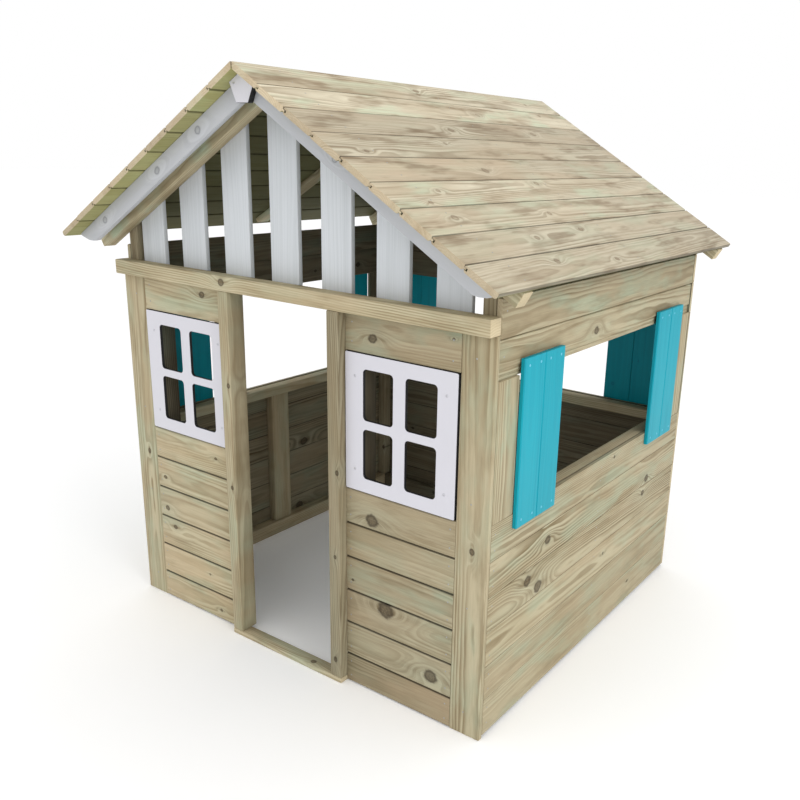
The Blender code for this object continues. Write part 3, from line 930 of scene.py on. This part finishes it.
def build_side(label, side):
    """One side wall, its sill rail and its shutters."""
    out = X * side
    node = label + "_lower_boards"
    heights = courses(node, SIDE_COVER)
    stack(node, Y, out, heights, tight_section, SIDE_KNOTS[label], (0.85, 0.35, 0.3), figures=SIDE_FIGURES)
    for spot in SPOTS:
        # the last number is the painted shade of the inner face
        squared(label + "_end_board_" + spot, Z, out, None, (0.85, 0.5, 0.4), 0.0012, 0.6)
    upper = label + "_upper_boards"
    low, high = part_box(upper)
    joint = high.z - TOP_BOARD
    length = high.y - low.y
    face = high.x if side > 0 else low.x
    second, top = upper + "_1", upper + "_2"
    second_knots, top_knots = [(0.447, 0.040, 0.009)], []
    if side < 0:
        second_knots = random_knots(second, length, SECOND_BOARD, 2, MIDDLING_KNOTS)
        top_knots = random_knots(top, length, 0.08, 2, MIDDLING_KNOTS)
    axes, run = (Y, Z, out), (0, length)
    # the skins: thickness, painted shade of the inner face, greener tint
    skin = (BOARD - PROUD, 0.6, 0.0)
    look = growth_of(second, SECOND_BOARD, second_knots, (0.78, 0.4, 0.3), True, skin)
    origin = Vector((face - side * PROUD, low.y, low.z))
    section = second_board_section(joint - low.z - 0.0030)
    board(second, origin, axes, section, run, look, 0.0007, (upper,))
    look = growth_of(top, TOP_BOARD, top_knots, (0.8, 0.5, 0.2), True, (BOARD, 0.6, 0.0))
    section = rectangle(high.z - joint, BOARD)
    board(top, Vector((face, low.y, joint)), axes, section, run, look, 0.0036, (upper,))
    squared(label + "_sill_rail", Y, Z, None, (1.0, 0.4, 0.3), 0.0025)
    for spot, lightness in zip(SPOTS, (1.0, 0.98)):
        shutter(label + "_shutter_" + spot, Y, out, (lightness, 0, 0))


RAIL = (0.045, 0.036)  # width and thickness of a bottom rail
RAIL_HEIGHT = 0.010
MIDDLE_STUD = (0.074, 0.028)


def bottom_rail(name, axes, origin, length, tone):
    """A rail just above the ground inside a wall."""
    look = growth_of(name, RAIL[0], random_knots(name, 1.0, RAIL[0], 2, MIDDLING_KNOTS), tone, False)
    board(name, origin, axes, rectangle(*RAIL), (0, length), look, 0.0025)


def build_side_frame(label, side):
    """The bottom rail and the middle stud inside a side wall."""
    low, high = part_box(label + "_sill_rail")
    out = X * side
    outer = high.x if side > 0 else low.x
    origin = Vector((outer, low.y, RAIL_HEIGHT))
    bottom_rail(label + "_bottom_rail", (Y, Z, out), origin, high.y - low.y, PINE_TONE)
    name = label + "_middle_stud"
    look = growth_of(name, 0.045, random_knots(name, 0.4, 0.045, 1, MIDDLING_KNOTS), PINE_TONE, False)
    origin = Vector((outer, (low.y + high.y) / 2 - 0.075, 0.0555))
    run = (0, low.z - 0.0560)
    board(name, origin, (Z, Y, out), rectangle(*MIDDLE_STUD), run, look, 0.0025)


GABLE_JOINTS = (0.943, 1.027)  # the lowest joints of the back gable's boards
RAFTER_CLEARANCE = 0.0366


def build_back():
    """The back wall with its closed gable."""
    node = "back_lower_boards"
    heights = courses(node, SIDE_COVER)
    # the painted shade of the inner faces is 0.62 in both stacks and on the end boards
    stack(node, X, Y, heights, tight_section, {}, (0.88, 0.4, 0.3), (), 0.62)
    node = "back_upper_boards"
    low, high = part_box(node)
    heights = [low.z, *GABLE_JOINTS]
    while heights[-1] + SIDE_COVER < high.z:
        heights.append(heights[-1] + SIDE_COVER)
    heights.append(high.z + 0.004)
    under_rafters = Vector((0, 0, under_roof(0, RAFTER_CLEARANCE)))
    cuts = [(under_rafters, slope_axes(side)[1]) for _, side in SIDES]
    stack(node, X, Y, heights, tight_section, {}, (0.88, 0.45, 0.3), cuts, 0.62)
    squared("back_sill_rail", X, Z, None, (1.0, 0.4, 0.3), 0.0025)
    low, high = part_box("back_sill_rail")
    origin = Vector((low.x, high.y, RAIL_HEIGHT))
    bottom_rail("back_bottom_rail", (X, Z, Y), origin, high.x - low.x, SHADED_BACK_RAIL_TONE)
    for label in LABELS:
        squared("back_end_board_" + label, Z, Y, None, (0.88, 0.5, 0.4), 0.0012, 0.62)
        shutter("back_shutter_" + label, X, Y, (1.0, 0, 0))


# ---- gable, roof and barge boards
def build_slats():
    """Painted slats with their tops cut to the roof."""
    for number in range(1, 8):
        node = "gable_slat_" + str(number)
        low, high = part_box(node)
        section = [(low.x, low.z), (high.x, low.z), (high.x, under_roof(high.x, CLEARANCE))]
        if low.x < 0 < high.x:
            section.append((0, under_roof(0, CLEARANCE)))
        section.append((low.x, under_roof(low.x, CLEARANCE)))
        look = growth_of(node, 0.09, random_knots(node, 0.3, 0.09, 1, TINY_KNOTS), (1.0, 0, 0), True)
        origin, run = Vector((0, low.y, 0)), (0, high.y - low.y)
        grain = (origin, (Z, X, -Y))
        board(node, origin, (Y, X, Z), section, run, look, 0.0016, (node,), (), grain, "pale_grey_paint")


ROOF_COVER = 0.0874
ROOF_COUNT = 9
ROOF_FIRST = -BOARD * tan(pitch)  # where the first board starts, down the slope from the ridge
ROOF_TONES = (
    (1.12, 0.5, 0.0), (1.14, 0.9, 0.0), (0.97, 0.2, 0.5), (0.96, 0.3, 0.5), (0.98, 0.3, 0.4),
    (1.06, 0.9, 0.2), (1.00, 0.5, 0.4), (0.98, 0.3, 0.4), (0.95, 0.3, 0.4),
)
ROOF_KNOTS = {  # by board from the ridge, on the right slope
    1: [(0.75, 0.05, 0.007), (1.13, 0.02, 0.005)],
    2: [(0.52, 0.05, 0.008), (0.93, 0.045, 0.008)],
    4: [(0.45, 0.05, 0.009)],
    6: [(0.13, 0.04, 0.008), (0.50, 0.05, 0.006)],
    7: [(0.33, 0.04, 0.007), (0.55, 0.03, 0.007)],
}
ROOF_END_PLAY = 0.0025
# thickness, painted shade of the underside, and how much greener the underside is
ROOF_SKIN = (BOARD, 0.58, 0.75)
RAFTER = 0.036
BATTEN = 0.014
RAFTER_GAP = 0.0003
RAFTER_START = -0.03  # sawn off again by the ridge cut


def build_roof():
    """Nine boards on each slope, over three pairs of rafters."""
    low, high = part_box("roof_boards_right")
    length = high.y - low.y
    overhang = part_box("gable_slat_4")[0].y - low.y
    for label, side in SIDES:
        node = "roof_boards_" + label
        down, up = slope_axes(side)
        for number in range(ROOF_COUNT):
            name = node + "_" + str(number + 1)
            dice = random.Random(name + " ends")
            corner = Vector((0, low.y, RIDGE)) + up * BOARD + down * (ROOF_FIRST + number * ROOF_COVER)
            inner_boards = number < ROOF_COUNT - 1, number > 0
            section = tongued(ROOF_COVER, BOARD, 0.0014, 0.0022, 0.0040, *inner_boards)
            knots = ROOF_KNOTS.get(number) if side > 0 else None
            if knots is None:
                knots = random_knots(name, length, ROOF_COVER, 3, MIDDLING_KNOTS)
            # painted shade in the joints; the underside's painted shade is left off over the overhang
            seam = (0.5, 0.9, overhang)
            look = growth_of(name, ROOF_COVER, knots, ROOF_TONES[number], True, ROOF_SKIN, seam)
            run = (dice.uniform(0, ROOF_END_PLAY), length - dice.uniform(0, ROOF_END_PLAY))
            cuts = [ridge_cut(side)] if number == 0 else []
            axes = (Y, down, up)
            board(name, corner, axes, section, run, look, 0.0009, (node,), cuts, slot="roof_pine")
        for spot in RAFTERS:
            build_rafter("rafter_" + spot + "_" + label, side, down, up)


def build_rafter(node, side, down, up):
    """One rafter, or the flat batten between them, mitred at the ridge and square at its tail."""
    low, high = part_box(node)
    wide = high.y - low.y
    deep = BATTEN if "middle" in node else RAFTER
    tail = (max(abs(low.x), abs(high.x)) + RAFTER_GAP * sin(pitch)) / cos(pitch)
    knots = random_knots(node, 0.75, RAFTER, 2, SMALL_KNOTS)
    if node == "rafter_front_left":
        knots = [(0.165, 0.02, 0.006), (0.70, 0.02, 0.005)]
    look = growth_of(node, RAFTER, knots, (0.98, 0.7, 0.15), False)
    section = [(0, -RAFTER_GAP), (-wide, -RAFTER_GAP), (-wide, -deep), (0, -deep)]
    origin, run = Vector((0, low.y, RIDGE)), (RAFTER_START, tail)
    board(node, origin, (down, -Y, up), section, run, look, 0.0022, (node,), [ridge_cut(side)])


BARGE_DROP = 0.052  # height of a barge board, measured upright
BARGE_TIP, BARGE_FOOT = 0.656, 0.590
BARGE_END = ((0.6535, 1.0500), (0.6230, 1.0415), (0.6040, 1.0410))  # the shaped lower end (x, z)
BARGE_KNOTS = {
    "left": [(0.645, -0.02, 0.0075), (0.385, -0.022, 0.008), (0.205, -0.02, 0.008)],
    "right": [(0.3, -0.02, 0.006)],
}
BARGE_LIGHTNESS = {"left": 1.0, "right": 0.92}
PLATE_FOOT = 0.018
PLATE_SHOULDER = 0.0405
PLATE_CLEARANCE = 0.0006
PLATE_SCREW = 0.023


def build_barge():
    """Barge boards and the plate over their joint."""
    for label, side in SIDES:
        node = "barge_board_" + label
        low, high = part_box(node)
        down, up = slope_axes(side)
        outline = [(MITRE_GAP, under_roof(0, CLEARANCE)), (BARGE_TIP, under_roof(BARGE_TIP, CLEARANCE))]
        outline += BARGE_END
        outline += [(BARGE_FOOT, under_roof(BARGE_FOOT) - BARGE_DROP), (MITRE_GAP, RIDGE - BARGE_DROP)]
        section = [(side * x, z) for x, z in outline]
        look = growth_of(node, 0.042, BARGE_KNOTS[label], (BARGE_LIGHTNESS[label], 0, 0), False)
        origin, run = Vector((0, low.y, 0)), (0, high.y - low.y)
        grain = (Vector((0, 0, RIDGE)), (down, up, -Y))
        slot = "lavender_grey_paint"
        board(node, origin, (Y, X, Z), section, run, look, 0.0018, (node,), (), grain, slot)
    low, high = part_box("apex_plate")
    shoulder, level = high.x, low.z + PLATE_SHOULDER
    roof_level = under_roof(shoulder, PLATE_CLEARANCE)
    outline = [
        (-PLATE_FOOT, low.z), (PLATE_FOOT, low.z), (shoulder, level), (shoulder, roof_level),
        (0, under_roof(0, PLATE_CLEARANCE)), (-shoulder, roof_level), (-shoulder, level),
    ]
    sheet_piece("apex_plate", [outline], low.y, high.y)
    places = [(Vector((x, low.y, level - 0.002)), -Y) for x in (-PLATE_SCREW, PLATE_SCREW)]
    heads("apex_screws", "white_board", zinc_head, places, 0.0032, 0.0010)


# ---- nails
def nail_boards(heights, spots, parts, normal):
    """A nail at each share of each board's height, at each spot (x, y)."""
    places = []
    for bottom, top in zip(heights, heights[1:]):
        for x, y in spots:
            for part in parts:
                places.append((Vector((x, y, bottom + (top - bottom) * part)), normal))
    return places


def build_nails():
    """Small nails where boards cross their timbers."""
    places = []
    for label, side in SIDES:
        node = "front_lower_boards_" + label
        low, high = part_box(node)
        spots = [(x, low.y) for x in (low.x + 0.014, high.x - 0.014)]
        places += nail_boards(courses(node, COVER_FRONT), spots, (0.25, 0.75), -Y)
        low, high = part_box("front_top_board_" + label)
        for x in (low.x + 0.02, high.x - 0.02):
            for z in (low.z + 0.022, high.z - 0.022):
                places.append((Vector((x, low.y, z)), -Y))
        low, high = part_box("front_stile_" + label)
        middle = (low.x + high.x) / 2
        for z in (0.06, 0.33, 0.58, 0.90):
            places.append((Vector((middle - side * 0.004, low.y, z)), -Y))
    heads("front_nails", "treated_pine", nail_head, places, 0.0021, 0.0005, False)
    places = []
    for label, side in SIDES:
        node = label + "_lower_boards"
        low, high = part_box(node)
        face = high.x if side > 0 else low.x
        spots = [(face, y) for y in (low.y + 0.016, (low.y + high.y) / 2, high.y - 0.016)]
        places += nail_boards(courses(node, SIDE_COVER), spots, (0.28, 0.72), X * side)
        for y in (low.y + 0.02, high.y - 0.02):
            places.append((Vector((face - side * PROUD, y, 0.905)), X * side))
            places.append((Vector((face, y, 1.0)), X * side))
    heads("side_nails", "treated_pine", nail_head, places, 0.0019, 0.0005, False)
    places = []
    for label, side in SIDES:
        down, up = slope_axes(side)
        for number in range(ROOF_COUNT):
            for spot in RAFTERS:
                low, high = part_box("rafter_" + spot + "_" + label)
                for part in (0.25, 0.75):
                    slope = ROOF_FIRST + (number + part) * ROOF_COVER
                    point = Vector((0, (low.y + high.y) / 2, RIDGE)) + up * BOARD + down * slope
                    places.append((point, up))
    heads("roof_nails", "roof_pine", nail_head, places, 0.0018, 0.0004, False)


build_front()
build_windows()
build_studs()
build_posts()
for wall, outward in SIDES:
    build_side(wall, outward)
    build_side_frame(wall, outward)
build_back()
build_slats()
build_roof()
build_barge()
build_nails()


# ---- floor, lights and camera
WHITE = (1, 1, 1, 1)
FLOOR_COLOUR = (0.98, 0.98, 0.98, 1)
FLOOR_GLOW = 0.06
FLOOR_DROP = 0.0005  # keeps the floor clear of the timbers' feet
LAMP_TARGET = Vector((0, 0, 0.7))
LAMPS = (("key", (4.6, -1.4, 3.0), 2.6, 75), ("fill", (-1.6, -4.6, 2.4), 3.0, 8))  # place, size, watts
CAMERA_PLACE = (1.4725, -1.9434, 1.3070)
CAMERA_TURN = tuple(radians(angle) for angle in (72.748, -1.995, 34.325))
CAMERA_SHIFT = (-0.0806, 0.0169)
CAMERA_LENS = 38.50
SENSOR_WIDTH = 36.0


def build_stage():
    """A pale floor under a white sky, with one broad soft light and a weak fill."""
    shape = bmesh.new()
    bmesh.ops.create_grid(shape, x_segments=1, y_segments=1, size=30)
    mesh = bpy.data.meshes.new("studio_floor")
    shape.to_mesh(mesh)
    shape.free()
    floor = bpy.data.objects.new("studio_floor", mesh)
    floor.location.z = -FLOOR_DROP
    bpy.context.scene.collection.objects.link(floor)
    g = Graph("studio_floor")
    glow = {"Emission_Color": WHITE, "Emission_Strength": FLOOR_GLOW}
    mesh.materials.append(g.finish(Base_Color=FLOOR_COLOUR, Roughness=0.9, **glow))

    world = bpy.data.worlds.new("studio")
    world.use_nodes = True
    sky = world.node_tree.nodes["Background"]
    sky.inputs["Color"].default_value = WHITE
    sky.inputs["Strength"].default_value = 1.0
    bpy.context.scene.world = world
    for name, spot, size, power in LAMPS:
        light = bpy.data.lights.new(name, "AREA")
        light.size = size
        light.energy = power
        lamp = bpy.data.objects.new(name, light)
        lamp.location = spot
        lamp.rotation_euler = (LAMP_TARGET - Vector(spot)).to_track_quat("-Z", "Y").to_euler()
        bpy.context.scene.collection.objects.link(lamp)


def build_camera():
    """The camera stands at head height off the front right corner."""
    data = bpy.data.cameras.new("camera")
    data.lens = CAMERA_LENS
    data.sensor_width = SENSOR_WIDTH
    data.shift_x, data.shift_y = CAMERA_SHIFT
    camera = bpy.data.objects.new("camera", data)
    camera.location = CAMERA_PLACE
    camera.rotation_euler = CAMERA_TURN
    bpy.context.scene.collection.objects.link(camera)
    bpy.context.scene.camera = camera
    bpy.context.scene.view_settings.view_transform = "Standard"


build_stage()
build_camera()
